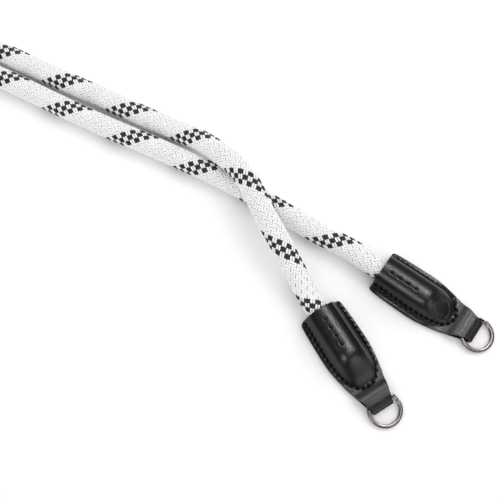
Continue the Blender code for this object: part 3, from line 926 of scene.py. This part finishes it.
def nickel_plate():
    """Dark nickel over polished steel: a smoky mirror with a warm cast and fine tumbling scratches."""
    material, tree, shader = new_material("dark_nickel_plate")
    place = add_node(tree, "ShaderNodeTexCoord")
    in_mm = add_node(
        tree,
        "ShaderNodeMapping",
        links={"Vector": place.outputs["Object"], "Scale": (1000.0, 1000.0, 1000.0)},
    )
    marks = add_node(
        tree, "ShaderNodeTexNoise", links={"Vector": in_mm.outputs["Vector"], "Scale": 1.6, "Detail": 5.0}
    )
    shine = add_node(
        tree, "ShaderNodeMapRange", links={"Value": marks.outputs["Fac"], "To Min": 0.24, "To Max": 0.34}
    )
    tree.links.new(shine.outputs["Result"], shader.inputs["Roughness"])
    tone = add_node(tree, "ShaderNodeValToRGB", links={"Fac": marks.outputs["Fac"]})
    tone.color_ramp.elements[0].color = from_hex("#554f4d")
    tone.color_ramp.elements[1].color = from_hex("#716a68")
    tree.links.new(tone.outputs["Color"], shader.inputs["Base Color"])
    scratches = add_node(
        tree,
        "ShaderNodeBump",
        links={"Height": marks.outputs["Fac"], "Strength": 0.08, "Distance": 0.05 * MM},
    )
    tree.links.new(scratches.outputs["Normal"], shader.inputs["Normal"])
    shader.inputs["Metallic"].default_value = 1.0
    return material


nickel = nickel_plate()


def split_ring(side, mouth, heading, section):
    low, high = -(RING_WIRE_HEIGHT + RING_COIL_GAP) / 2, (RING_WIRE_HEIGHT + RING_COIL_GAP) / 2
    radius = (RING_DIAMETER - RING_BAND) / 2
    step_from = 2 * math.pi - RING_STEP_ANGLE
    angles = np.linspace(RING_END_GAP_ANGLE, 4 * math.pi - RING_STEP_ANGLE - RING_END_GAP_ANGLE, RING_POINTS)
    climb = np.clip((angles - step_from) / RING_STEP_ANGLE, 0, 1)
    heights = low + (high - low) * climb**2 * (3 - 2 * climb)
    turned = angles + RING_START_ANGLE
    curve = bpy.data.curves.new(f"{side}_ring_wire", "CURVE")
    curve.dimensions = "3D"
    curve.twist_mode = "Z_UP"
    curve.bevel_mode = "OBJECT"
    curve.bevel_object = section
    curve.use_fill_caps = True
    spline = curve.splines.new("POLY")
    spline.points.add(RING_POINTS - 1)
    for point, angle, height in zip(spline.points, turned, heights):
        point.co = (radius * math.cos(angle), radius * math.sin(angle), height, 1.0)
    ring = bpy.data.objects.new(f"{side}_ring", curve)
    bpy.context.scene.collection.objects.link(ring)
    bpy.ops.object.select_all(action="DESELECT")
    ring.select_set(True)
    bpy.context.view_layer.objects.active = ring
    bpy.ops.object.convert(target="MESH")
    ring = bpy.context.active_object
    bpy.ops.object.mode_set(mode="EDIT")
    bpy.ops.mesh.select_all(action="SELECT")
    bpy.ops.mesh.remove_doubles(threshold=0.000002)
    bpy.ops.mesh.normals_make_consistent(inside=False)
    bpy.ops.object.mode_set(mode="OBJECT")
    bpy.ops.object.shade_smooth_by_angle(angle=math.radians(50))
    ring.data.transform(
        Matrix.Translation((*mouth, 0.0))
        @ Matrix.Rotation(heading, 4, "Z")
        @ Matrix.Translation((RING_CENTRE_ALONG, RING_ASIDE[side], RING_CENTRE_HEIGHT))
        @ Matrix.Rotation(RING_TILT, 4, "Y")
    )
    ring.data.materials.clear()
    ring.data.materials.append(nickel)
    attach(ring, f"{side}_ring")
    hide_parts(f"{side}_split_ring")
    return ring


wire_section = ring_wire_section()
split_ring("left", LEFT_MOUTH, LEFT_HEADING, wire_section)
split_ring("right", RIGHT_MOUTH, RIGHT_HEADING, wire_section)
bpy.data.objects.remove(wire_section)


# Table: a plain white lacquered board that runs far past the strap, with soft light from all round. The room
# gives most of it, and one soft box, high on the far side, gives the faint shadows.
TABLE_SIZE = 12.0
ROOM_FILL = 0.99
ROOM_MIRRORED = 0.05
bpy.ops.object.select_all(action="DESELECT")
bpy.ops.mesh.primitive_plane_add(size=TABLE_SIZE, location=(0.0, 0.0, 0.0))
table = bpy.context.active_object
table.name = "table"
board, board_tree, board_shader = new_material("white_lacquered_board")
board_shader.inputs["Base Color"].default_value = from_hex("#f4f4f4")
board_shader.inputs["Roughness"].default_value = 0.6
table.data.materials.append(board)

world = bpy.data.worlds.new("studio")
bpy.context.scene.world = world
world.use_nodes = True
world.node_tree.nodes["Background"].inputs["Color"].default_value = (1.0, 1.0, 1.0, 1.0)
ray = add_node(world.node_tree, "ShaderNodeLightPath")
glow = add_node(
    world.node_tree,
    "ShaderNodeMapRange",
    links={"Value": ray.outputs["Is Glossy Ray"], "To Min": ROOM_FILL, "To Max": ROOM_MIRRORED},
)
world.node_tree.links.new(glow.outputs["Result"], world.node_tree.nodes["Background"].inputs["Strength"])

# The soft box only lights. The leather and the rings mirror the board, a dim room and five bright cards,
# which throw no light. towards: the direction of each from the strap. radiance: in W/(m2 sr).
LIGHTS = {
    "key_soft_box": {"towards": (0.27, 0.52, 0.81), "size": 0.60, "radiance": 1.0, "mirrored": False},
    "key_card": {"towards": (0.23, 0.46, 0.857), "size": 0.14, "radiance": 105.0, "mirrored": True},
    "fold_card": {"towards": (0.27, 0.10, 0.957), "size": 0.16, "radiance": 24.0, "mirrored": True},
    "back_card": {"towards": (-0.49, 0.45, 0.75), "size": 0.60, "radiance": 9.0, "mirrored": True},
    "front_card": {"towards": (-0.064, -0.729, 0.683), "size": 0.20, "radiance": 36.0, "mirrored": True},
    "side_card": {"towards": (0.86, -0.30, 0.39), "size": 0.50, "radiance": 4.4, "mirrored": True},
}
LIGHTS_AWAY = 0.80
for name, plan in LIGHTS.items():
    light_data = bpy.data.lights.new(name, "AREA")
    light_data.shape = "SQUARE"
    light_data.size = plan["size"]
    light_data.energy = plan["radiance"] * math.pi * plan["size"] ** 2
    light = bpy.data.objects.new(name, light_data)
    light.location = Vector(plan["towards"]).normalized() * LIGHTS_AWAY
    light.rotation_euler = (-light.location).to_track_quat("-Z", "Y").to_euler()
    light.visible_diffuse = not plan["mirrored"]
    light.visible_glossy = plan["mirrored"]
    bpy.context.scene.collection.objects.link(light)
bpy.context.scene.view_settings.view_transform = "Standard"
